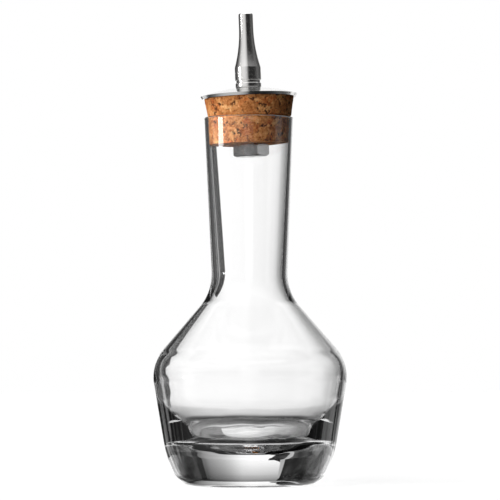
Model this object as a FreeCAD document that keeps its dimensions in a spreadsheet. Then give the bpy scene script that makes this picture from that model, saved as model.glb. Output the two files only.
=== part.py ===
import FreeCAD, Part
import math
import os
import Sketcher

# Bitters bottle: a thick-based, long-necked bottle of clear glass, closed by a
# cork that carries a domed steel disc, a turned dasher spout and, below, the
# hex nut that clamps the stack. Millimetres, +Z up, origin at the centre of
# the base. The stopper stands a little askew in the mouth.

doc = FreeCAD.newDocument("BittersBottle")

# ---------------------------------------------------------------- sizes
sizes = doc.addObject("Spreadsheet::Sheet", "Sizes")
DRIVING = [
    # glass, outside: heights and radii of the corners before rounding
    ("glass_height", 116.9),
    ("mouth_radius", 14.2),
    ("shoulder_height", 61.4),
    ("neck_radius", 11.84),
    ("bulb_height", 38.4),
    ("bulb_radius", 31.66),
    ("heel_height", 10.1),
    ("heel_radius", 26.95),
    ("base_radius", 22.9),
    ("shoulder_round", 16.0),
    ("bulb_round", 14.0),
    ("heel_round", 36.0),
    ("base_round", 7.2),
    ("lip_round", 0.5),
    # glass, inside: walls measured in from the corners above
    ("mouth_wall", 1.15),
    ("neck_wall", 1.69),
    ("throat_lift", 1.1),
    ("bulb_wall", 2.06),
    ("cavity_drop", 0.4),
    ("flank_wall", 2.1),
    ("flank_rise", 13.5),
    ("bowl_wall", 6.05),
    ("bowl_rise", 3.1),
    ("floor_thickness", 11.3),
    ("floor_flat", 8.5),
    ("throat_round", 15.0),
    ("cavity_round", 10.0),
    ("flank_round", 27.0),
    ("bowl_round", 5.2),
    ("floor_round", 50.0),
    # stopper as a whole
    ("stopper_lean", 2.05),
    ("stopper_shift", 0.33),
    # cork, squeezed by the mouth
    ("cork_depth", 8.6),
    ("cork_foot_radius", 13.3),
    ("cork_lip_radius", 13.25),
    ("cork_head_radius", 14.35),
    ("cork_fit", 0.02),
    # domed disc over the cork
    ("disc_rim_height", 7.1),
    ("disc_radius", 15.45),
    ("disc_rise", 2.5),
    ("disc_sheet", 1.0),
    ("disc_bevel", 0.45),
    ("disc_play", 0.2),
    ("seat_gap", 0.02),
    # dasher spout and its stem
    ("spout_height", 23.8),
    ("tip_radius", 2.3),
    ("tip_length", 4.6),
    ("tip_round", 0.45),
    ("collar_radius", 4.16),
    ("collar_height", 4.2),
    ("collar_edge", 0.22),
    ("groove_radius", 3.8),
    ("groove_width", 0.7),
    ("bead_radius", 4.1),
    ("bead_height", 1.6),
    ("bead_edge", 0.4),
    ("spout_bore", 1.2),
    ("stem_radius", 3.0),
    ("stem_play", 0.05),
    # hex nut
    ("nut_flats", 10.0),
    ("nut_height", 4.0),
    ("nut_land", 0.94),
    ("nut_turn", -10.0),
    ("thread_play", 0.05),
]
for row, (alias, value) in enumerate(DRIVING, start=1):
    sizes.set("A%d" % row, alias)
    sizes.set("B%d" % row, "%g" % value)
    sizes.setAlias("B%d" % row, alias)
doc.recompute()


# ------------------------------------------------------------- helpers
def expand(text):
    """Words of the sheet, in braces, become its cells: {neck_wall}."""
    return text.replace("{", "Sizes.").replace("}", "")


def plane(body, role):
    return next(o for o in body.Origin.OriginFeatures if o.Role == role)


def new_sketch(body, name, role="XZ_Plane"):
    sketch = body.newObject("Sketcher::SketchObject", name)
    sketch.AttachmentSupport = [(plane(body, role), "")]
    sketch.MapMode = "FlatFace"
    return sketch


def hold(sketch, geo, pos, x_text, y_text):
    """Dimension one point of the sketch from the origin, from the sheet."""
    for kind, axis, text in (("DistanceX", -2, x_text), ("DistanceY", -1, y_text)):
        if text == "0":
            sketch.addConstraint(Sketcher.Constraint("PointOnObject", geo, pos, axis))
            continue
        value = float(sketch.evalExpression(expand(text)))
        index = sketch.addConstraint(
            Sketcher.Constraint(kind, -1, 1, geo, pos, value))
        sketch.setExpression("Constraints[%d]" % index, expand(text))


def short_arc(sketch, centre, start, end):
    """The shorter arc between two points; gives its index and the vertex
    numbers of start and end, since a sketch keeps arcs anticlockwise."""
    forward = (start - centre).cross(end - centre).z > 0
    angles = [math.atan2(p.y - centre.y, p.x - centre.x)
              for p in ((start, end) if forward else (end, start))]
    if angles[1] < angles[0]:
        angles[1] += 2 * math.pi
    circle = Part.Circle(centre, FreeCAD.Vector(0, 0, 1), (start - centre).Length)
    index = sketch.addGeometry(Part.ArcOfCircle(circle, *angles), False)
    return (index, 1, 2) if forward else (index, 2, 1)


def polygon_profile(sketch, corners):
    """Closed profile through corners (x, y, round): each round is a tangent
    arc, and its corner stays as a construction point on both lines."""
    at = []
    for x_text, y_text, _ in corners:
        at.append(FreeCAD.Vector(
            float(sketch.evalExpression(expand(x_text))),
            float(sketch.evalExpression(expand(y_text))), 0))
    count = len(corners)
    rounds = [float(sketch.evalExpression(expand(c[2]))) if c[2] else 0.0
              for c in corners]
    enter, leave, centres = [], [], []
    for i in range(count):
        here = at[i]
        to_before = (at[i - 1] - here).normalize()
        to_after = (at[(i + 1) % count] - here).normalize()
        turn = math.pi - to_before.getAngle(to_after)
        reach = rounds[i] * math.tan(turn / 2)
        enter.append(here + to_before * reach)
        leave.append(here + to_after * reach)
        centres.append(here + (to_before + to_after).normalize() * (
            rounds[i] / math.cos(turn / 2)) if rounds[i] else None)
    lines = [sketch.addGeometry(
        Part.LineSegment(leave[i], enter[(i + 1) % count]), False)
        for i in range(count)]
    for i, (x_text, y_text, round_text) in enumerate(corners):
        line_in, line_out = lines[i - 1], lines[i]
        if not rounds[i]:
            sketch.addConstraint(
                Sketcher.Constraint("Coincident", line_in, 2, line_out, 1))
            hold(sketch, line_out, 1, x_text, y_text)
            continue
        arc, first, last = short_arc(sketch, centres[i], enter[i], leave[i])
        sketch.addConstraint(
            Sketcher.Constraint("Tangent", line_in, 2, arc, first))
        sketch.addConstraint(
            Sketcher.Constraint("Tangent", arc, last, line_out, 1))
        radius = sketch.addConstraint(
            Sketcher.Constraint("Radius", arc, rounds[i]))
        sketch.setExpression("Constraints[%d]" % radius, expand(round_text))
        corner = sketch.addGeometry(Part.Point(at[i]), True)
        for line in (line_in, line_out):
            sketch.addConstraint(
                Sketcher.Constraint("PointOnObject", corner, 1, line))
        hold(sketch, corner, 1, x_text, y_text)


def turned(body, sketch, name, kind="PartDesign::Revolution"):
    """Full turn of a profile about the sketch's own upright axis."""
    feature = body.newObject(kind, name)
    feature.Profile = sketch
    feature.ReferenceAxis = (sketch, ["V_Axis"])
    feature.Angle = 360
    doc.recompute()
    return feature


def lean(piece):
    """Stand a stopper piece in the mouth: its own z = 0 is the lip's plane."""
    piece.Placement = FreeCAD.Placement(
        FreeCAD.Vector(1, 0, 1), FreeCAD.Rotation(FreeCAD.Vector(0, 1, 0), -1))
    piece.setExpression("Placement.Base.x", "Sizes.stopper_shift")
    piece.setExpression("Placement.Base.z", "Sizes.glass_height")
    piece.setExpression("Placement.Rotation.Angle", "-Sizes.stopper_lean")


# -------------------------------------------------------------- bottle
# One piece of glass. The outside is turned from straight runs joined by
# rounds, and the cavity is turned out of it, bowl-shaped over a thick base.
bottle = doc.addObject("PartDesign::Body", "Bottle")
bottle.Label = "bottle"
outside = new_sketch(bottle, "OutsideProfile")
polygon_profile(outside, [
    ("0", "0", None),
    ("{base_radius}", "0", "{base_round}"),
    ("{heel_radius}", "{heel_height}", "{heel_round}"),
    ("{bulb_radius}", "{bulb_height}", "{bulb_round}"),
    ("{neck_radius}", "{shoulder_height}", "{shoulder_round}"),
    ("{mouth_radius}", "{glass_height}", None),
    ("0", "{glass_height}", None),
])
blank = turned(bottle, outside, "GlassBlank")
solid_volume = blank.Shape.Volume

FLANK_Z = "({heel_height} + {flank_rise})"
FLANK_R = ("({heel_radius} + ({bulb_radius} - {heel_radius}) * {flank_rise}"
           " / ({bulb_height} - {heel_height}) - {flank_wall})")
BOWL_Z = "({floor_thickness} + {bowl_rise})"
BOWL_R = ("({heel_radius} + ({bulb_radius} - {heel_radius})"
          " * ({floor_thickness} + {bowl_rise} - {heel_height})"
          " / ({bulb_height} - {heel_height}) - {bowl_wall})")
THROAT_Z = "({shoulder_height} + {throat_lift})"
THROAT_R = "({neck_radius} - {neck_wall})"
MOUTH_R = "({mouth_radius} - {mouth_wall})"

inside = new_sketch(bottle, "CavityProfile")
polygon_profile(inside, [
    ("0", "{floor_thickness}", None),
    ("{floor_flat}", "{floor_thickness}", "{floor_round}"),
    (BOWL_R, BOWL_Z, "{bowl_round}"),
    (FLANK_R, FLANK_Z, "{flank_round}"),
    ("{bulb_radius} - {bulb_wall}", "{bulb_height} - {cavity_drop}", "{cavity_round}"),
    (THROAT_R, THROAT_Z, "{throat_round}"),
    (MOUTH_R, "{glass_height}", None),
    ("0", "{glass_height}", None),
])
cavity = turned(bottle, inside, "Cavity", "PartDesign::Groove")
if cavity.Shape.Volume >= solid_volume:
    raise RuntimeError("the cavity cut nothing")

# Fire-polished lip: both edges of the mouth are rounded over.
lip_edges = ["Edge%d" % n for n, edge in enumerate(cavity.Shape.Edges, start=1)
             if isinstance(edge.Curve, Part.Circle)
             and abs(edge.BoundBox.ZMin - sizes.glass_height) < 1e-6
             and abs(edge.BoundBox.ZMax - sizes.glass_height) < 1e-6]
lip = bottle.newObject("PartDesign::Fillet", "Lip")
lip.Base = (cavity, lip_edges)
lip.setExpression("Radius", "min(Sizes.lip_round; 0.45 * Sizes.mouth_wall)")

# ---------------------------------------------------------------- cork
# Sphere that the disc is pressed to, centred on the stopper's axis.
DOME_R = "(({disc_radius} ^ 2 + {disc_rise} ^ 2) / (2 * {disc_rise}))"
DOME_C = "({disc_rim_height} + {disc_rise} - " + DOME_R + ")"
CORK_TOP_R = "(" + DOME_R + " - {disc_sheet} - {seat_gap})"
CORK_EDGE_Z = "(" + DOME_C + " + sqrt(" + CORK_TOP_R + " ^ 2 - {cork_head_radius} ^ 2))"


def number(text):
    return float(sizes.evalExpression(expand(text)))


# The free cork: a plug that flares out under the disc, with a top domed to
# the disc's underside and a bore for the stem.
cork_blank = doc.addObject("PartDesign::Body", "CorkBlank")
cork_profile = new_sketch(cork_blank, "CorkProfile")
bore, foot = "{stem_radius} + {stem_play}", "-{cork_depth}"
corner = [
    (bore, foot),
    ("{cork_foot_radius}", foot),
    ("{cork_lip_radius}", "0"),
    ("{cork_head_radius}", CORK_EDGE_Z),
    (bore, DOME_C + " + sqrt(" + CORK_TOP_R + " ^ 2 - (" + bore + ") ^ 2)"),
]
point = [FreeCAD.Vector(number(x), number(y), 0) for x, y in corner]
side = (point[2] - point[1]).normalize()
chord = point[3] - point[2]
normal = FreeCAD.Vector(-side.y, side.x, 0)
flare_radius = chord.Length ** 2 / (2 * chord.dot(normal))
flare_centre = point[2] + normal * flare_radius
dome_centre = FreeCAD.Vector(0, number(DOME_C), 0)
under, plug, axis_side = [cork_profile.addGeometry(Part.LineSegment(*ends), False)
                          for ends in ((point[0], point[1]), (point[1], point[2]),
                                       (point[4], point[0]))]
flare, flare_foot, flare_head = short_arc(
    cork_profile, flare_centre, point[2], point[3])
crown, crown_edge, crown_bore = short_arc(
    cork_profile, dome_centre, point[3], point[4])
for kind, a, a_end, b, b_end in (
        ("Coincident", under, 2, plug, 1),
        ("Tangent", plug, 2, flare, flare_foot),
        ("Coincident", flare, flare_head, crown, crown_edge),
        ("Coincident", crown, crown_bore, axis_side, 1),
        ("Coincident", axis_side, 2, under, 1)):
    cork_profile.addConstraint(Sketcher.Constraint(kind, a, a_end, b, b_end))
cork_profile.addConstraint(Sketcher.Constraint("PointOnObject", crown, 3, -2))
hold(cork_profile, under, 1, *corner[0])
hold(cork_profile, plug, 1, *corner[1])
hold(cork_profile, plug, 2, *corner[2])
hold(cork_profile, crown, crown_edge, *corner[3])
hold(cork_profile, axis_side, 1, *corner[4])
turned(cork_blank, cork_profile, "FreeCork")
lean(cork_blank)

# What the mouth leaves free: a taper just inside the bore, open above the lip.
CORK_REACH = "({cork_depth} + 3)"
BORE_SLOPE = "((" + MOUTH_R + " - " + THROAT_R + ") / ({glass_height} - " + THROAT_Z + "))"
mouth_taper = doc.addObject("Part::Cone", "MouthTaper")
mouth_taper.setExpression("Radius1", expand(
    MOUTH_R + " - " + BORE_SLOPE + " * " + CORK_REACH + " - {cork_fit}"))
mouth_taper.setExpression("Radius2", expand(MOUTH_R + " - {cork_fit}"))
mouth_taper.setExpression("Height", expand(CORK_REACH))
mouth_taper.setExpression("Placement.Base.z", expand("{glass_height} - " + CORK_REACH))
above_lip = doc.addObject("Part::Cylinder", "AboveLip")
above_lip.setExpression("Radius", "2 * Sizes.disc_radius")
above_lip.setExpression("Height", "2 * Sizes.disc_rim_height + Sizes.disc_rise")
above_lip.setExpression("Placement.Base.z", "Sizes.glass_height")
mouth_room = doc.addObject("Part::Fuse", "MouthRoom")
mouth_room.Base, mouth_room.Tool = mouth_taper, above_lip

# The cork as it sits: the plug keeps the shape that the mouth squeezes it to.
cork = doc.addObject("Part::Common", "Cork")
cork.Label = "cork"
cork.Base, cork.Tool = cork_blank, mouth_room

# ------------------------------------------------------------ cap disc
# Pressed sheet steel: two parallel domes, a bevelled rim and the stem's hole.
cap_disc = doc.addObject("PartDesign::Body", "CapDisc")
cap_disc.Label = "cap_disc"
sheet = new_sketch(cap_disc, "DiscProfile")
HOLE_R = "({stem_radius} + {disc_play})"
RIM_R = "({disc_radius} - {disc_bevel})"
UNDER_R = "(" + DOME_R + " - {disc_sheet})"
corner = [
    (HOLE_R, DOME_C + " + sqrt(" + UNDER_R + " ^ 2 - " + HOLE_R + " ^ 2)"),
    (RIM_R, DOME_C + " + sqrt(" + UNDER_R + " ^ 2 - " + RIM_R + " ^ 2)"),
    ("{disc_radius}", "{disc_rim_height}"),
    (HOLE_R, DOME_C + " + sqrt(" + DOME_R + " ^ 2 - " + HOLE_R + " ^ 2)"),
]
point = [FreeCAD.Vector(number(x), number(y), 0) for x, y in corner]

underside, under_hole, under_rim = short_arc(sheet, dome_centre, point[0], point[1])
rim = sheet.addGeometry(Part.LineSegment(point[1], point[2]), False)
top, top_rim, top_hole = short_arc(sheet, dome_centre, point[2], point[3])
hole = sheet.addGeometry(Part.LineSegment(point[3], point[0]), False)
for a, a_end, b, b_end in (
        (underside, under_rim, rim, 1), (rim, 2, top, top_rim),
        (top, top_hole, hole, 1), (hole, 2, underside, under_hole)):
    sheet.addConstraint(Sketcher.Constraint("Coincident", a, a_end, b, b_end))
for arc in (underside, top):
    sheet.addConstraint(Sketcher.Constraint("PointOnObject", arc, 3, -2))
hold(sheet, underside, under_hole, *corner[0])
hold(sheet, rim, 1, *corner[1])
hold(sheet, top, top_rim, *corner[2])
hold(sheet, hole, 1, *corner[3])
turned(cap_disc, sheet, "PressedDisc")
lean(cap_disc)

# -------------------------------------------------------- dasher spout
# Turned from one bar: stem, bead, groove, collar and a hollow-ground taper
# up to the slim tip. It seats on the disc round the hole; its stem runs
# through disc and cork to the nut, flush with the nut's underside.
spout = doc.addObject("PartDesign::Body", "DasherSpout")
spout.Label = "dasher_spout"
SEAT_Z = "(" + corner[3][1] + " + {seat_gap})"
GROOVE_Z = "(" + SEAT_Z + " + {bead_height})"
COLLAR_Z = "(" + GROOVE_Z + " + {groove_width})"
COLLAR_TOP = "(" + COLLAR_Z + " + {collar_height})"
TIP_Z = "(" + SEAT_Z + " + {spout_height})"
STEM_END = "(0 - {cork_depth} - {nut_height})"
lathe = new_sketch(spout, "SpoutProfile")
lines = polygon_profile(lathe, [
    ("0", STEM_END, None),
    ("{stem_radius}", STEM_END, None),
    ("{stem_radius}", SEAT_Z, None),
    ("{bead_radius}", SEAT_Z, "{bead_edge}"),
    ("{bead_radius}", GROOVE_Z, "{bead_edge}"),
    ("{groove_radius}", GROOVE_Z, None),
    ("{groove_radius}", COLLAR_Z, None),
    ("{collar_radius}", COLLAR_Z, "{collar_edge}"),
    ("{collar_radius}", COLLAR_TOP, None),
    ("{tip_radius}", TIP_Z + " - {tip_length}", None),
    ("{tip_radius}", TIP_Z, "{tip_round}"),
    ("0", TIP_Z, None),
])
spout_solid = turned(spout, lathe, "TurnedBar")
# The taper between collar and tip is hollow: a groove round it whose arc runs
# into the tip without a corner.
ground = new_sketch(spout, "TaperProfile")
start = FreeCAD.Vector(number("{tip_radius}"), number(TIP_Z + " - {tip_length}"), 0)
end = FreeCAD.Vector(number("{collar_radius}"), number(COLLAR_TOP), 0)
drop, swell = start.y - end.y, end.x - start.x
hollow_radius = (drop ** 2 + swell ** 2) / (2 * swell)
hollow_centre = start + FreeCAD.Vector(hollow_radius, 0, 0)
hollow, hollow_top, hollow_foot = short_arc(ground, hollow_centre, start, end)
chord_line = ground.addGeometry(Part.LineSegment(start, end), False)
ground.addConstraint(
    Sketcher.Constraint("Coincident", chord_line, 1, hollow, hollow_top))
ground.addConstraint(
    Sketcher.Constraint("Coincident", chord_line, 2, hollow, hollow_foot))
hold(ground, chord_line, 1, "{tip_radius}", TIP_Z + " - {tip_length}")
hold(ground, chord_line, 2, "{collar_radius}", COLLAR_TOP)
ground.addConstraint(Sketcher.Constraint("Horizontal", hollow, 3, chord_line, 1))
hollowed = turned(spout, ground, "HollowTaper", "PartDesign::Groove")

# Pouring bore, right through spout and stem.
mouthpiece = new_sketch(spout, "BoreProfile")
polygon_profile(mouthpiece, [
    ("0", STEM_END, None),
    ("{spout_bore}", STEM_END, None),
    ("{spout_bore}", TIP_Z, None),
    ("0", TIP_Z, None),
])
bored = turned(spout, mouthpiece, "PouringBore", "PartDesign::Groove")
if not spout_solid.Shape.Volume > hollowed.Shape.Volume > bored.Shape.Volume:
    raise RuntimeError("the spout's grooves cut nothing")
lean(spout)

# ----------------------------------------------------------------- nut
# Hexagon across flats, its corners turned off at both faces, bored for the
# stem and pulled up against the cork's foot.
nut = doc.addObject("PartDesign::Body", "Nut")
nut.Label = "nut"
hexagon = new_sketch(nut, "HexProfile", "XY_Plane")
apothem = number("{nut_flats} / 2")
turn = math.radians(number("{nut_turn}"))
tips = [FreeCAD.Vector(math.cos(turn + n * math.pi / 3),
                       math.sin(turn + n * math.pi / 3), 0)
        * (apothem / math.cos(math.pi / 6)) for n in range(6)]
rim_circle = hexagon.addGeometry(Part.Circle(
    FreeCAD.Vector(0, 0, 0), FreeCAD.Vector(0, 0, 1), tips[0].Length), True)
hexagon.addConstraint(Sketcher.Constraint("Coincident", rim_circle, 3, -1, 1))
sides = [hexagon.addGeometry(
    Part.LineSegment(tips[n], tips[(n + 1) % 6]), False) for n in range(6)]
for n in range(6):
    hexagon.addConstraint(Sketcher.Constraint(
        "Coincident", sides[n], 2, sides[(n + 1) % 6], 1))
    hexagon.addConstraint(
        Sketcher.Constraint("PointOnObject", sides[n], 1, rim_circle))
for n in range(1, 6):
    hexagon.addConstraint(Sketcher.Constraint("Equal", sides[0], sides[n]))
hold(hexagon, sides[0], 1, "{nut_flats} / 2 / cos(30 deg) * cos({nut_turn} * 1 deg)",
     "{nut_flats} / 2 / cos(30 deg) * sin({nut_turn} * 1 deg)")
prism = nut.newObject("PartDesign::Pad", "HexBar")
prism.Profile = hexagon
prism.setExpression("Length", "Sizes.nut_height")
doc.recompute()
# The corners are turned off at 30 degrees from a round land on each face, and
# the bore is opened in the same lathe profile.
LAND_R = "({nut_flats} / 2 * {nut_land})"
CORNER_R = "({nut_flats} / 2 / cos(30 deg) + 0.5)"
FALL = "((" + CORNER_R + " - " + LAND_R + ") * tan(30 deg))"
THREAD_R = "({stem_radius} + {thread_play})"
cut_volume = prism.Shape.Volume
for name, corners in (
        ("TopCorners", [
            (LAND_R, "{nut_height}", None),
            (CORNER_R, "{nut_height}", None),
            (CORNER_R, "{nut_height} - " + FALL, None)]),
        ("FootCorners", [
            (LAND_R, "0", None),
            (CORNER_R, "0", None),
            (CORNER_R, FALL, None)]),
        ("ThreadBore", [
            ("0", "0", None),
            (THREAD_R, "0", None),
            (THREAD_R, "{nut_height}", None),
            ("0", "{nut_height}", None)])):
    cutter = new_sketch(nut, name + "Profile")
    polygon_profile(cutter, corners)
    shaped = turned(nut, cutter, name, "PartDesign::Groove")
    if shaped.Shape.Volume >= cut_volume:
        raise RuntimeError(name + " cut nothing")
    cut_volume = shaped.Shape.Volume
lean(nut)
# The lean turns the nut about the mouth's centre, so its place along the
# stopper's axis is resolved into the frame.
nut.setExpression(
    "Placement.Base.x", expand(
        "{stopper_shift} + ({cork_depth} + {nut_height}) * sin({stopper_lean} * 1 deg)"))
nut.setExpression(
    "Placement.Base.z", expand(
        "{glass_height} - ({cork_depth} + {nut_height}) * cos({stopper_lean} * 1 deg)"))

# ------------------------------------------------------ check and write
doc.recompute()
failed = [o.Name for o in doc.Objects if "Invalid" in o.State or "Error" in o.State]
if failed:
    raise RuntimeError("failed objects: " + ", ".join(failed))
os.makedirs("parts", exist_ok=True)
for piece in (bottle, cork, cap_disc, spout, nut):
    if piece.Shape.isNull() or not piece.Shape.isValid() or len(piece.Shape.Solids) != 1:
        raise RuntimeError(piece.Label + " is not one valid solid")
    piece.Shape.exportStep("parts/%s.step" % piece.Label)
    print("%-14s volume %9.1f mm3" % (piece.Label, piece.Shape.Volume))
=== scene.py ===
import math

import bmesh
import bpy
from mathutils import Matrix, Vector, noise


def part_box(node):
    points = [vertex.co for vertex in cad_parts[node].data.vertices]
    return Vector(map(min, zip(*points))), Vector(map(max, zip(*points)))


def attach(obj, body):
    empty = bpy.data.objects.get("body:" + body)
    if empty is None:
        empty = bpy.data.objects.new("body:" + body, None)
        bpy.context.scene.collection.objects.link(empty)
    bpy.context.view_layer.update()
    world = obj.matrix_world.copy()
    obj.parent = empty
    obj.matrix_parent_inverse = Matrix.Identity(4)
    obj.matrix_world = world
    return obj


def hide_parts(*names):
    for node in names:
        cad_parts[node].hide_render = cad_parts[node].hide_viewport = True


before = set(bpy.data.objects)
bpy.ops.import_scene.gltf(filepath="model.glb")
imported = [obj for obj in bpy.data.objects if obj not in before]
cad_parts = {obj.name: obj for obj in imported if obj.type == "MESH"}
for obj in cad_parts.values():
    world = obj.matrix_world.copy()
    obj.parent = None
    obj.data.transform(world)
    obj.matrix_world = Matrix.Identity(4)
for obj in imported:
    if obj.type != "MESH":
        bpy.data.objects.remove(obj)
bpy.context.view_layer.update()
scene = bpy.context.scene
scene.view_settings.view_transform = "Standard"
MM = 0.001

# ---------------------------------------------------------------- camera
# A long lens at the height of the bulb, tipped up a little, so that the floor
# is nearly edge-on and the neck hardly tapers.
VIEW_DISTANCE = 907.7 * MM
EYE_HEIGHT = 46.9 * MM
EYE_SIDE = 0.2 * MM
TIP_UP = math.radians(1.75)
ROLL = math.radians(-0.27)
SENSOR_WIDTH = 36
FOCAL_LENGTH = 205.2
NEAREST = 10 * MM
camera = bpy.data.objects.new("camera", bpy.data.cameras.new("camera"))
camera.data.sensor_width = SENSOR_WIDTH
camera.data.lens = FOCAL_LENGTH
camera.data.clip_start = NEAREST
camera.location = (EYE_SIDE, -VIEW_DISTANCE, EYE_HEIGHT)
camera.rotation_euler = (
    Matrix.Rotation(math.pi / 2 + TIP_UP, 3, "X") @ Matrix.Rotation(ROLL, 3, "Z")
).to_euler()
scene.collection.objects.link(camera)
scene.camera = camera

# ---------------------------------------------------------------- studio
# A lit white panel stands behind the bottle between black cards. Steel and
# glass mirror an open white studio on the left, with a narrow strip light in
# it, and the cork is lit by one soft box on that side.
SLIT_LIGHT = 0.45
WHITE_CARD = 0.85
STRIP_LIGHT = 14
CEILING_LIGHT = 1.1
SOFT_BOX_LIGHT = 3.2
ALL_ROUND_LIGHT = 0.05
WHITE = (1, 1, 1, 1)


class Wire:
    """An output socket of a node tree: sums on it add Math nodes."""

    def __init__(self, tree, socket=None):
        self.tree = tree
        self.socket = socket

    def node(self, kind, settings=None, sockets=None, output=0):
        made = self.tree.nodes.new("ShaderNode" + kind)
        for name, value in (settings or {}).items():
            setattr(made, name, value)
        for name, value in (sockets or {}).items():
            if isinstance(value, Wire):
                self.tree.links.new(value.socket, made.inputs[name])
            else:
                made.inputs[name].default_value = value
        return Wire(self.tree, made.outputs[output] if made.outputs else None)

    def sum(self, operation, *values):
        return self.node("Math", {"operation": operation}, dict(enumerate(values)))

    def __add__(self, other):
        return self.sum("ADD", self, other)

    def __radd__(self, other):
        return self.sum("ADD", other, self)

    def __sub__(self, other):
        return self.sum("SUBTRACT", self, other)

    def __rsub__(self, other):
        return self.sum("SUBTRACT", other, self)

    def __mul__(self, other):
        return self.sum("MULTIPLY", self, other)

    def __rmul__(self, other):
        return self.sum("MULTIPLY", other, self)

    def fade(self, start, end):
        """0 at start, 1 at end, with a soft run between."""
        return self.node("MapRange", {"interpolation_type": "SMOOTHSTEP"},
                         {"Value": self, "From Min": start, "From Max": end})

    def band(self, low, high, soft):
        """1 between low and high, fading out over soft at each end."""
        return self.fade(low - soft, low) * (1 - self.fade(high, high + soft))

    def ramp(self, start, end, stops):
        """Runs through the stops, each a reading from start to end and the
        colour or the strength that it gives."""
        place = self.node("MapRange", sockets={
            "Value": self, "From Min": start, "From Max": end})
        made = self.node("ValToRGB", sockets={0: place})
        elements = made.socket.node.color_ramp.elements
        for n, (reading, shade) in enumerate(stops):
            position = (reading - start) / (end - start)
            stop = elements[n] if n < 2 else elements.new(position)
            stop.position = position
            stop.color = shade if isinstance(shade, tuple) else (shade, shade, shade, 1)
        return made

    def mix(self, other, factor, blend="MIX"):
        """This colour where the factor is 0 and the other one where it is 1."""
        return self.node("Mix", {"data_type": "RGBA", "blend_type": blend},
                         {0: factor, 6: self, 7: other}, output=2)


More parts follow.
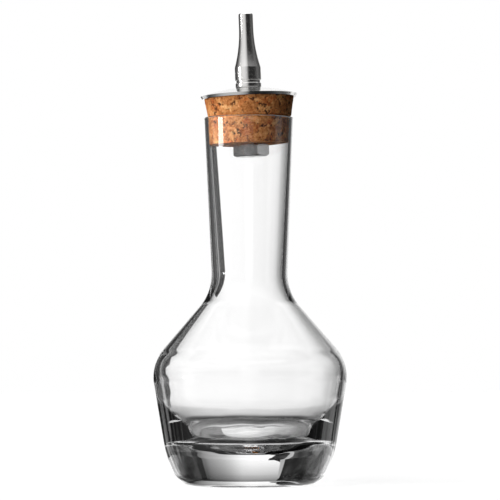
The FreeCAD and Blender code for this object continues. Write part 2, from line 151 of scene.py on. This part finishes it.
def studio_world():
    """Light by direction: the bearing is in degrees from the far side towards
    the right, and the rise in degrees above the horizon."""
    world = bpy.data.worlds.new("studio")
    world.use_nodes = True
    # only rays find the light, since each kind of ray finds its own
    world.cycles.sampling_method = "NONE"
    world.node_tree.nodes.clear()
    plug = Wire(world.node_tree)
    way = plug.node("TexCoord", output="Generated")
    x, y, z = [plug.node("SeparateXYZ", sockets={0: way}, output=n) for n in range(3)]
    degrees = 180 / math.pi
    bearing = plug.sum("ARCTAN2", x, y) * degrees
    rise = plug.sum("ARCSINE", z) * degrees
    clutter = plug.node("TexNoise", sockets={
        "Vector": way, "Scale": 7, "Detail": 2}).fade(0.42, 0.6)

    # the lit panel, brightest in its middle; its left edge steps out higher up
    left_edge = -7.7 - 6.5 * rise.fade(12, 15) - 2.2 * rise.fade(0, -4)
    right_edge = 25
    panel = bearing.ramp(-180, 180, [
        (-180, 1), (0, 1), (4, 0.91), (7, 0.75), (9, 0.63), (13, 0.47), (16, 0.39),
        (21, 0.28), (24, 0.15), (180, 0.13)])
    panel = panel * rise.ramp(-90, 90, [
        (-90, 0.05), (-60, 0.06), (-50, 0.05), (-40, 0.06), (-34, 0.15), (-26, 0.52),
        (-20, 0.68), (-17, 0.92), (-6, 1.05), (2, 1.12), (14, 1.03), (17, 0.8), (19, 0.64),
        (21, 0.5), (24, 0.39), (27, 0.29), (33, 0.15), (42, 0.05), (50, 0.9), (74, 0.9),
        (80, 0.03)])
    between_edges = (bearing.fade(left_edge - 0.8, left_edge)
                     * (1 - bearing.fade(right_edge, right_edge + 1)))

    # black cards at both its sides, bright walls beyond them, uneven higher up
    sides = bearing.ramp(-180, 180, [
        (-180, 0.75), (-172, 0.75), (-164, 0.12), (-125, 0.2), (-114, 0.95), (-68, 0.9),
        (-58, 0.2), (-45, 0.1), (-36, 0.14), (-32, 0.03), (-28, 0.08), (-23, 0.03),
        (-20, 0.1), (-17, 0.05), (-13, 0.01), (26, 0.02), (30, 0.02), (31, 0.1), (40, 0.04),
        (75, 0.05), (82, 0.75), (98, 0.75), (105, 0.1), (164, 0.1), (172, 0.75),
        (180, 0.75)])
    sides = sides * rise.ramp(-90, 90, [
        (-90, 0.02), (-50, 0.1), (-20, 0.7), (-8, 1), (8, 1), (14, 0.35), (40, 0.3),
        (55, 0.03), (90, 0.02)])
    sides = sides * (1 + (1.4 * clutter - 0.6) * rise.fade(12, 22))

    # a slit of light between the left cards, and white card low at both sides
    slit = bearing + 18 - 0.16 * plug.sum("MAXIMUM", rise, 0)
    sides = sides + SLIT_LIGHT * slit.band(-1, 1, 0.6) * rise.band(-14, 24, 3)
    low_card = rise.band(-45, -16, 8) * plug.sum("ABSOLUTE", bearing).fade(28, 38)
    sides = sides * (1 - low_card) + WHITE_CARD * low_card
    behind = panel * between_edges + sides * (1 - between_edges)

    # what steel and glass mirror: open studio on the left, dark on the right
    mirror = bearing.ramp(-180, 180, [
        (-180, 0.3), (-168, 0.7), (-150, 1), (-112, 0.95), (-98, 0.75), (-88, 0.5),
        (-75, 0.25), (-60, 0.08), (-14, 0.03), (-12, 1), (20, 1), (30, 0.4), (36, 0.05),
        (70, 0.12), (90, 0.16), (110, 0.06), (130, 0.03), (178, 0.03), (180, 0.3)])
    mirror = mirror * (0.6 + 0.4 * rise.fade(-30, 10))
    mirror = mirror + STRIP_LIGHT * bearing.band(-108, -93, 1) * rise.band(0.2, 2.6, 0.7)
    mirror = mirror + CEILING_LIGHT * rise.fade(25, 65)
    mirror = mirror + rise.band(50, 86, 12) * bearing.band(-70, 70, 20)
    mirror = mirror + clutter * rise.band(-20, -8, 3) * bearing.band(-80, 80, 10)

    # what lights the cork: the soft box, and a little from all round
    soft_box = bearing.band(-156, -86, 14) * rise.band(-8, 50, 10)
    lit = ALL_ROUND_LIGHT + SOFT_BOX_LIGHT * soft_box

    camera_ray, through_ray, mirror_ray, diffuse_depth = [
        plug.node("LightPath", output=name) for name in (
            "Is Camera Ray", "Is Transmission Ray", "Is Glossy Ray", "Diffuse Depth")]
    bounced = plug.sum("GREATER_THAN", diffuse_depth, 0.5)
    light = lit.mix(mirror, mirror_ray).mix(behind, through_ray)
    light = light.mix(lit * (1 + through_ray), bounced).mix(WHITE, camera_ray)
    backdrop = plug.node("Background", sockets={"Color": light})
    plug.node("OutputWorld", sockets={"Surface": backdrop})
    return world


scene.world = studio_world()

# ----------------------------------------------------------------- floor
# White paper, a hair below the foot. It keeps a soft shadow, and glass and
# steel see the studio through it, as they would in a seamless white cove.
FLOOR_HALF = 1.5
FLOOR_GAP = 0.05 * MM
PAPER_GREY = (0.35, 0.35, 0.35, 1)
PAPER_GLOW = 0.86


def new_material(name):
    """A material with an empty tree, and a wire to start its nodes from."""
    material = bpy.data.materials.new(name)
    material.use_nodes = True
    material.node_tree.nodes.clear()
    return material, Wire(material.node_tree)


def white_paper():
    material, plug = new_material("white_paper")
    sheet = plug.node("BsdfDiffuse", sockets={"Color": PAPER_GREY})
    glow = plug.node("Emission", sockets={"Color": WHITE, "Strength": PAPER_GLOW})
    white = plug.node("AddShader", sockets={0: sheet, 1: glow})
    clear = plug.node("BsdfTransparent")
    seen = plug.node("LightPath", output="Is Camera Ray")
    surface = plug.node("MixShader", sockets={0: seen, 1: clear, 2: white})
    plug.node("OutputMaterial", sockets={"Surface": surface})
    return material


floor_shape = bmesh.new()
bmesh.ops.create_grid(floor_shape, x_segments=1, y_segments=1, size=FLOOR_HALF)
bmesh.ops.translate(floor_shape, verts=floor_shape.verts, vec=(0, 0, -FLOOR_GAP))
floor_mesh = bpy.data.meshes.new("floor")
floor_shape.to_mesh(floor_mesh)
floor_shape.free()
floor_mesh.materials.append(white_paper())
floor = bpy.data.objects.new("floor", floor_mesh)
scene.collection.objects.link(floor)

# ---------------------------------------------------------------- bottle
# One thick-based piece of clear glass, turned: a splayed foot, a bulb, a long
# neck that widens to the rounded mouth, and a bowl-shaped cavity.
MOUTH_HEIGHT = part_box("bottle")[1][2]
MOUTH_BORE = 13.05 * MM
LIP_ROUND = 0.52 * MM
THROAT_HEIGHT = 62.5 * MM
THROAT_RADIUS = 10.15 * MM
BOWL_FLOOR = 11.3 * MM
GLASS_STEPS = 240
GLASS_ARC = math.radians(2)
WALL_STEP = 2 * MM
BOWL_STEP = 0.6 * MM
# corners before rounding: radius, height, round, longest edge on the way
GLASS_OUTSIDE = [
    (0, 0, 0, WALL_STEP),
    (22.9 * MM, 0, 7.2 * MM, WALL_STEP),
    (26.95 * MM, 10.1 * MM, 36 * MM, WALL_STEP),
    (31.66 * MM, 38.4 * MM, 14 * MM, WALL_STEP),
    (11.84 * MM, 61.4 * MM, 16 * MM, WALL_STEP),
    (14.2 * MM, MOUTH_HEIGHT, LIP_ROUND, WALL_STEP),
]
GLASS_INSIDE = [
    (MOUTH_BORE, MOUTH_HEIGHT, LIP_ROUND, WALL_STEP),
    (THROAT_RADIUS, THROAT_HEIGHT, 15 * MM, WALL_STEP),
    (29.6 * MM, 38 * MM, 10 * MM, WALL_STEP),
    (27.1 * MM, 23.6 * MM, 27 * MM, BOWL_STEP),
    (21.6 * MM, 14.4 * MM, 5.2 * MM, BOWL_STEP),
    (8.5 * MM, BOWL_FLOOR, 50 * MM, BOWL_STEP),
    (0, BOWL_FLOOR, 0, BOWL_STEP),
]
RIPPLE_TOP = 32 * MM
RIPPLE_LENGTH = 6 * MM
RIPPLE_HEIGHT = 0.2 * MM
RING_SHARE = 0.2
BOWL_RADIUS = 23 * MM
RIM_DEPTH = 0.5 * MM
RIM_ROUGHNESS = 0.55
WELD = 0.002 * MM


def draw_profile(shape, corners, arc_step):
    """Edges through the corners (radius, height, round, step) in the plane
    y = 0: each round is one vertex spun about the arc's centre, and step is
    the longest edge on the way to the corner and round it."""
    points = [Vector((corner[0], 0, corner[1])) for corner in corners]
    line = [shape.verts.new(points[0])]

    def run_to(goal, step):
        start = line[-1].co.copy()
        cuts = max(1, round((goal - start).length / step))
        for n in range(1, cuts + 1):
            line.append(shape.verts.new(start.lerp(goal, n / cuts)))
            shape.edges.new(line[-2:])

    for n in range(1, len(points) - 1):
        to_before = (points[n - 1] - points[n]).normalized()
        to_after = (points[n + 1] - points[n]).normalized()
        radius, step = corners[n][2:]
        bend = math.pi - to_before.angle(to_after)
        reach = radius * math.tan(bend / 2)
        run_to(points[n] + to_before * reach, step)
        if not radius:
            continue
        centre = points[n] + (to_before + to_after).normalized() * radius / math.cos(bend / 2)
        axis = (line[-1].co - centre).cross(points[n] + to_after * reach - centre)
        steps = max(2, round(bend / arc_step), round(bend * radius / step))
        spun = bmesh.ops.spin(shape, geom=[line[-1]], cent=centre, axis=axis,
                              angle=bend, steps=steps)
        line.append(spun["geom_last"][0])
    run_to(points[-1], corners[-1][3])


def turn_solid(shape, steps):
    """Spins the drawn edges once round the axis into a closed skin."""
    bmesh.ops.spin(shape, geom=shape.verts[:] + shape.edges[:], cent=(0, 0, 0),
                   axis=(0, 0, 1), angle=2 * math.pi, steps=steps, use_merge=True)
    bmesh.ops.remove_doubles(shape, verts=shape.verts[:], dist=WELD)
    bmesh.ops.recalc_face_normals(shape, faces=shape.faces[:])
    for face in shape.faces:
        face.smooth = True


def finish_piece(name, shape, material, node):
    """The shape as an object of the scene, in the place of a solid."""
    mesh = bpy.data.meshes.new(name)
    shape.to_mesh(mesh)
    shape.free()
    mesh.materials.append(material)
    piece = bpy.data.objects.new(name, mesh)
    scene.collection.objects.link(piece)
    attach(piece, "root")
    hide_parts(node)


def clear_glass():
    """Clear all over, but for the rim of the mouth, which is finely frosted."""
    material, plug = new_material("clear_glass")
    place = plug.node("TexCoord", output="Object")
    height = plug.node("SeparateXYZ", sockets={0: place}, output=2)
    rim = height.fade(MOUTH_HEIGHT - RIM_DEPTH, MOUTH_HEIGHT - RIM_DEPTH / 2)
    skin = plug.node("BsdfPrincipled", sockets={
        "Base Color": WHITE, "Roughness": RIM_ROUGHNESS * rim, "IOR": 1.52,
        "Transmission Weight": 1.0})
    plug.node("OutputMaterial", sockets={"Surface": skin})
    return material


glass_shape = bmesh.new()
draw_profile(glass_shape, GLASS_OUTSIDE + GLASS_INSIDE, GLASS_ARC)
turn_solid(glass_shape, GLASS_STEPS)
# the bowl is left as the plunger pressed it: uneven sides, rings on its floor
for vert in glass_shape.verts:
    low = 1 - vert.co.z / RIPPLE_TOP
    if vert.normal.z > 0 and low > 0:
        reach = math.hypot(vert.co.x, vert.co.y)
        side = min(1, reach / BOWL_RADIUS) ** 3
        uneven = noise.noise(vert.co / RIPPLE_LENGTH)
        rings = RING_SHARE * math.cos(2 * math.pi * reach / RIPPLE_LENGTH)
        wave = side * uneven + (1 - side) * rings
        vert.co += vert.normal * wave * RIPPLE_HEIGHT * low
finish_piece("clear_bottle", glass_shape, clear_glass(), "bottle")

# ------------------------------------------------------------------ cork
# A plug of pressed cork granules, squeezed by the mouth and flared out above
# it; the granules are torn and pitted where the plug was cut.
LEAN = math.radians(2.05)
SHIFT = 0.33 * MM
STOPPER = (Matrix.Translation((SHIFT, 0, MOUTH_HEIGHT))
           @ Matrix.Rotation(-LEAN, 4, "Y"))
CORK_FIT = 0.02 * MM
MOUTH_TAPER = (MOUTH_BORE - THROAT_RADIUS) / (MOUTH_HEIGHT - THROAT_HEIGHT)
CORK_BORE = 3.05 * MM
CORK_DEPTH = 8.6 * MM
CORK_SHOULDER = 6.36 * MM
CORK_CROWN = 8.4 * MM
CORK_STEPS = 330
CORK_ARC = math.radians(1)
GRAIN_STEP = 0.22 * MM
HIDDEN_STEP = 3 * MM
CORK_PROFILE = [
    (CORK_BORE, CORK_CROWN, 0, HIDDEN_STEP),
    (CORK_BORE, -CORK_DEPTH, 0, HIDDEN_STEP),
    (13.3 * MM, -CORK_DEPTH, 0.5 * MM, GRAIN_STEP),
    (13.25 * MM, 0, 20 * MM, GRAIN_STEP),
    (14.35 * MM, CORK_SHOULDER, 0.2 * MM, GRAIN_STEP),
    (CORK_BORE, CORK_CROWN, 0, HIDDEN_STEP),
]
# the granules, in millimetres, and the share of the area that is coarse
COARSE_GRANULE = 3.6
FINE_GRANULE = 1.7
COARSE_SHARE = 0.45
RUSTY_FROM = 0.6
SEAM_WIDTH = 0.28
SEAM_DEPTH = 0.18
PIT_WIDTH = 0.75
PIT_DEPTH = 0.3
GRAIN_SEED = 4
CORK_COLOURS = [
    (0.0, (0.27, 0.08, 0.018, 1)), (0.3, (0.50, 0.18, 0.05, 1)),
    (0.65, (0.70, 0.32, 0.11, 1)), (1.0, (0.86, 0.50, 0.22, 1))]
RUST_TINT = (0.95, 0.62, 0.45, 1)
# painted shade: the near-black laid into the open seams and pits
SEAM_SHADE_COLOUR = (0.07, 0.022, 0.01, 1)


def pressed_cork():
    material, plug = new_material("pressed_cork")
    tone, shaded_seam, rust = [plug.node("Attribute", {"attribute_name": name}, output="Fac")
                        for name in ("granule", "shaded_seam", "rust")]
    place = plug.node("TexCoord", output="Object")
    fine = plug.node("TexNoise", sockets={"Vector": place, "Scale": 1500, "Detail": 3})
    grain = plug.node("TexNoise", sockets={"Vector": place, "Scale": 4500, "Detail": 2})
    colour = (tone + fine * 0.9 + grain * 0.5 - 0.7).ramp(0, 1, CORK_COLOURS)
    # painted shade: the open seams and pits are darkened to near-black
    colour = colour.mix(RUST_TINT, rust, "MULTIPLY").mix(SEAM_SHADE_COLOUR, shaded_seam)
    bump = plug.node("Bump", sockets={"Height": fine, "Strength": 0.5, "Distance": 0.12 * MM})
    skin = plug.node("BsdfPrincipled", sockets={
        "Base Color": colour, "Roughness": 0.85, "Normal": bump, "Specular IOR Level": 0.25})
    plug.node("OutputMaterial", sockets={"Surface": skin})
    return material


def within_one(value):
    return min(1, max(0, value))


def chance(point):
    """A fixed number from 0 to 1 for a granule's centre."""
    return math.sin(point.dot(Vector((12.99, 78.23, 37.72)))) * 43758.5 % 1


def granule_at(point):
    """Shade of colour, rust, painted shade of the open seams and pits, and depth of the cork at
    a point, in millimetres.
    """
    # cells of two sizes, bent out of round
    bent = (point + 0.8 * noise.noise_vector(point * 0.55)
            + 0.3 * noise.noise_vector(point * 1.9))
    size = COARSE_GRANULE
    near, centres = noise.voronoi(bent / size)
    if chance(centres[0]) > COARSE_SHARE:
        size = FINE_GRANULE
        near, centres = noise.voronoi(bent / size + Vector((5, 9, 2)))
    tone = chance(centres[0])
    rust = max(0, chance(centres[0] + Vector((1, 0, 0))) - RUSTY_FROM) / (1 - RUSTY_FROM)
    mottle = noise.fractal(bent * 1.1, 0.7, 2.1, 3)
    # seams between cells and pits at their corners, open where the cork tore: they are sunk,
    # and painted shade darkens them
    torn = noise.noise(point * 0.7) + 0.7 * noise.noise(point * 1.7)
    shaded_seam = (within_one(1 - (near[1] - near[0]) * size / SEAM_WIDTH)
            * within_one(4 * (torn - 0.02)))
    pit = (within_one(1 - (near[2] - near[0]) * size / PIT_WIDTH)
           * within_one(4 * (torn - 0.2)))
    shade = 0.28 + 0.45 * tone + 0.4 * mottle
    # painted shade in the open seams and pits
    hollow_shade = min(1, 0.85 * shaded_seam + 1.3 * pit)
    depth = 0.04 + 0.05 * tone - 0.04 * mottle + SEAM_DEPTH * shaded_seam + PIT_DEPTH * pit
    return shade, rust, hollow_shade, depth


# the seed keeps the bent outlines of the granules the same in every run
noise.seed_set(GRAIN_SEED)
cork_shape = bmesh.new()
draw_profile(cork_shape, CORK_PROFILE, CORK_ARC)
turn_solid(cork_shape, CORK_STEPS)
cork_shape.normal_update()
granule_layer, rust_layer, hollow_shade_layer = [
    cork_shape.verts.layers.float.new(name) for name in ("granule", "rust", "shaded_seam")]
for vert in cork_shape.verts:
    vert[granule_layer], vert[rust_layer], vert[hollow_shade_layer], depth = granule_at(vert.co / MM)
    # the mouth squeezes the plug to its own taper; the bore is left smooth
    seat = STOPPER @ vert.co
    above = seat.z - MOUTH_HEIGHT
    limit = MOUTH_BORE - CORK_FIT + (above if above > 0 else above * MOUTH_TAPER)
    squeeze = min(1, limit / math.hypot(seat.x, seat.y))
    seat.x *= squeeze
    seat.y *= squeeze
    if math.hypot(vert.co.x, vert.co.y) > CORK_BORE + WELD:
        seat -= (STOPPER.to_3x3() @ vert.normal) * depth * MM
    vert.co = seat
finish_piece("pressed_cork", cork_shape, pressed_cork(), "cork")

# -------------------------------------------------------------- cap disc
# Pressed from sheet steel into a shallow dome and polished on a wheel, which
# leaves only a faint unevenness in it.
DISC_COLOUR = (0.80, 0.80, 0.79, 1)


def steel(name, colour, roughness, grain_scale, grain_depth, mark_scale):
    """Bright steel with tool marks: the grain is scaled along the stopper's
    own axes, and the marks are where its polish is worn."""
    material, plug = new_material(name)
    place = plug.node("TexCoord", output="Object")
    own = plug.node("Mapping", {"vector_type": "TEXTURE"}, {
        "Vector": place, "Location": (SHIFT, 0, MOUTH_HEIGHT), "Rotation": (0, -LEAN, 0)})
    stretched = plug.node("Mapping", sockets={"Vector": own, "Scale": grain_scale})
    grain = plug.node("TexNoise", sockets={"Vector": stretched, "Scale": 1, "Detail": 3})
    marks = plug.node("TexNoise", sockets={"Vector": own, "Scale": mark_scale, "Detail": 4})
    bump = plug.node("Bump", sockets={
        "Height": grain, "Strength": 0.6, "Distance": grain_depth})
    skin = plug.node("BsdfPrincipled", sockets={
        "Base Color": colour, "Metallic": 1.0,
        "Roughness": roughness + marks.fade(0.35, 0.75) * 0.08, "Normal": bump})
    plug.node("OutputMaterial", sockets={"Surface": skin})
    return material


def dress(node, material):
    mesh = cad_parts[node].data
    mesh.materials.clear()
    mesh.materials.append(material)


dress("cap_disc", steel("polished_disc", DISC_COLOUR, roughness=0.12,
                        grain_scale=(300, 300, 300), grain_depth=0.004 * MM, mark_scale=300))

# ---------------------------------------------------------- dasher spout
# Turned from steel bar, with a hollow taper up to the tip, a plain collar, a
# groove and a bead; fine rings from the tool stay in its polish.
SPOUT_COLOUR = (0.74, 0.73, 0.72, 1)
dress("dasher_spout", steel("turned_steel", SPOUT_COLOUR, roughness=0.17,
                            grain_scale=(60, 60, 6000), grain_depth=0.006 * MM, mark_scale=500))

# ------------------------------------------------------------------- nut
# A bright steel hex nut on the spout's stem, which clamps the disc, the cork
# and the spout together; its flats have a fine upright grain.
NUT_COLOUR = (0.78, 0.78, 0.78, 1)
dress("nut", steel("nut_steel", NUT_COLOUR, roughness=0.2,
                   grain_scale=(3500, 3500, 250), grain_depth=0.003 * MM, mark_scale=800))
